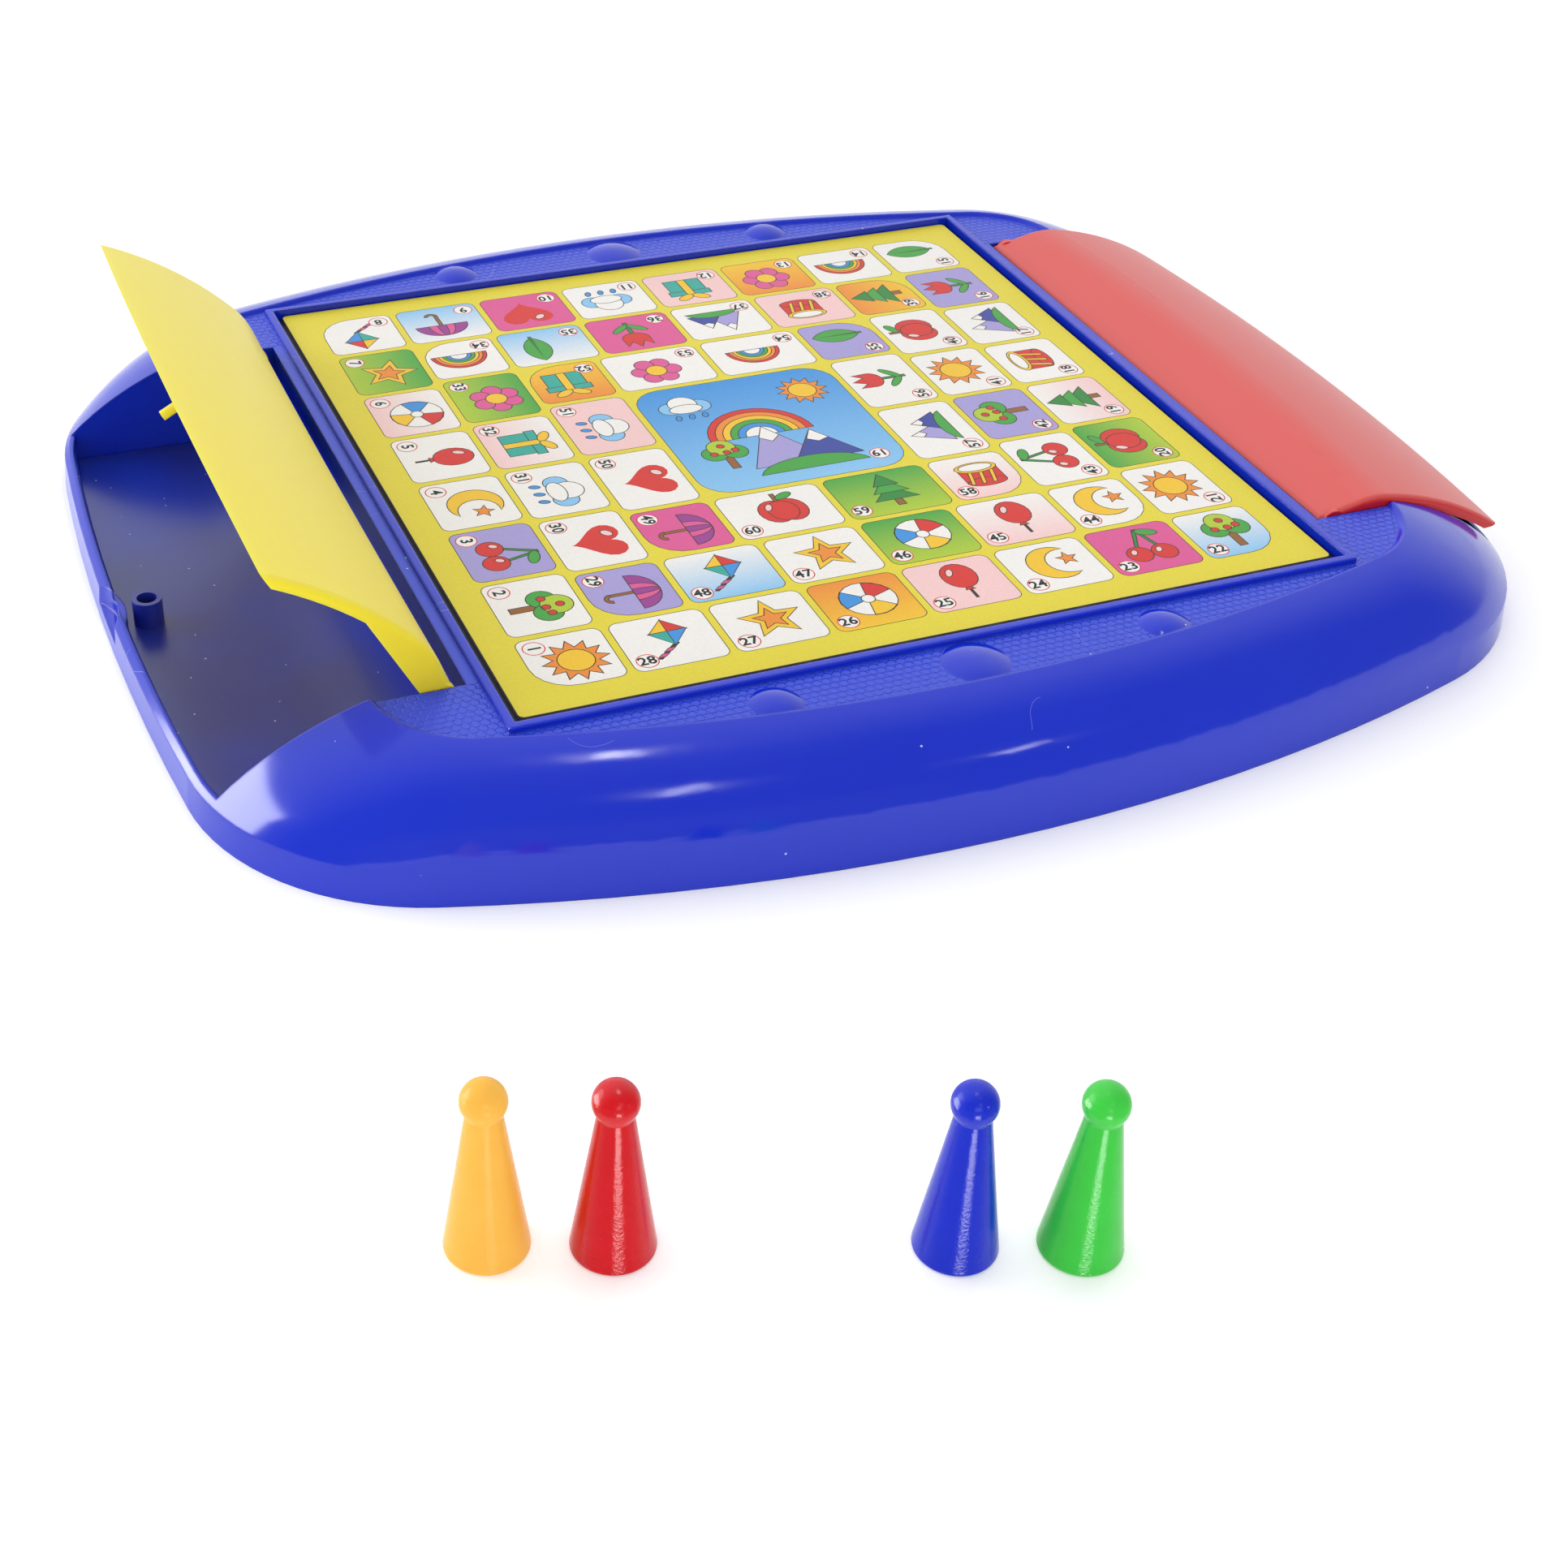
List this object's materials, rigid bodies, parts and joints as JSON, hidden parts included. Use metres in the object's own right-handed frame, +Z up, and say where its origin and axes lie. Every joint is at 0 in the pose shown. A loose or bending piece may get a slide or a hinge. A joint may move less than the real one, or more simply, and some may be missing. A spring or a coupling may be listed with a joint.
{
  "type": "board game case",
  "caption": "Barrel-shaped plastic game case with hinged storage lids at both ends, a square recess for printed game cards, loose pawns and dice.",
  "frame": {"origin": "centre of the case's underside, on the table", "axes": "+X towards the red lid, +Y to the back, away from the pawns, +Z up"},
  "size_m": [0.372, 0.4348, 0.0716],
  "materials": {
    "blue_plastic": "glossy moulded plastic, fine grain on the deck",
    "yellow_plastic": "satin moulded plastic",
    "red_plastic": "satin moulded plastic with fine grain",
    "game_print": "coated printed card",
    "draughts_print": "coated printed card",
    "yellow_pawn_plastic": "glossy moulded plastic",
    "red_pawn_plastic": "glossy moulded plastic",
    "blue_pawn_plastic": "glossy moulded plastic",
    "green_pawn_plastic": "glossy moulded plastic",
    "die_plastic": "glossy moulded plastic with painted pips",
    "screw_steel": "zinc plated"
  },
  "bodies": {
    "case": {"top_case": "blue_plastic", "bottom_case": "blue_plastic", "case_screws": "screw_steel"},
    "yellow_lid": {"yellow_lid": "yellow_plastic"},
    "red_lid": {"red_lid": "red_plastic"},
    "game_card": {"game_card": "game_print"},
    "draughts_card": {"draughts_card": "draughts_print"},
    "yellow_pawn": {"yellow_pawn": "yellow_pawn_plastic"},
    "red_pawn": {"red_pawn": "red_pawn_plastic"},
    "blue_pawn": {"blue_pawn": "blue_pawn_plastic"},
    "green_pawn": {"green_pawn": "green_pawn_plastic"},
    "die_1": {"die_1": "die_plastic"},
    "die_2": {"die_2": "die_plastic"}
  },
  "joints": [
    {"name": "yellow_lid_hinge", "type": "hinge", "parent": "case", "child": "yellow_lid", "pos_m": [-0.123, 0, 0.0261], "axis": [0, 1, 0], "range_deg": [-61.5, 43.5]},
    {"name": "red_lid_hinge", "type": "hinge", "parent": "case", "child": "red_lid", "pos_m": [0.123, 0, 0.0261], "axis": [0, -1, 0], "range_deg": [-4.5, 100.5]},
    {"name": "draughts_card_lift", "type": "slide", "parent": "case", "child": "draughts_card", "axis": [0, 0, 1], "range_m": [0, 0.06]},
    {"name": "game_card_lift", "type": "slide", "parent": "draughts_card", "child": "game_card", "axis": [0, 0, 1], "range_m": [0, 0.06]},
    {"name": "yellow_pawn_lift", "type": "slide", "parent": "case", "child": "yellow_pawn", "axis": [0, 0, 1], "range_m": [0, 0.06]},
    {"name": "red_pawn_lift", "type": "slide", "parent": "case", "child": "red_pawn", "axis": [0, 0, 1], "range_m": [0, 0.06]},
    {"name": "blue_pawn_lift", "type": "slide", "parent": "case", "child": "blue_pawn", "axis": [0, 0, 1], "range_m": [0, 0.06]},
    {"name": "green_pawn_lift", "type": "slide", "parent": "case", "child": "green_pawn", "axis": [0, 0, 1], "range_m": [0, 0.06]},
    {"name": "die_1_slide", "type": "slide", "parent": "case", "child": "die_1", "axis": [0, 1, 0], "range_m": [-0.14, 0.014]},
    {"name": "die_2_slide", "type": "slide", "parent": "case", "child": "die_2", "axis": [0, 1, 0], "range_m": [-0.12, 0.034]}
  ]
}
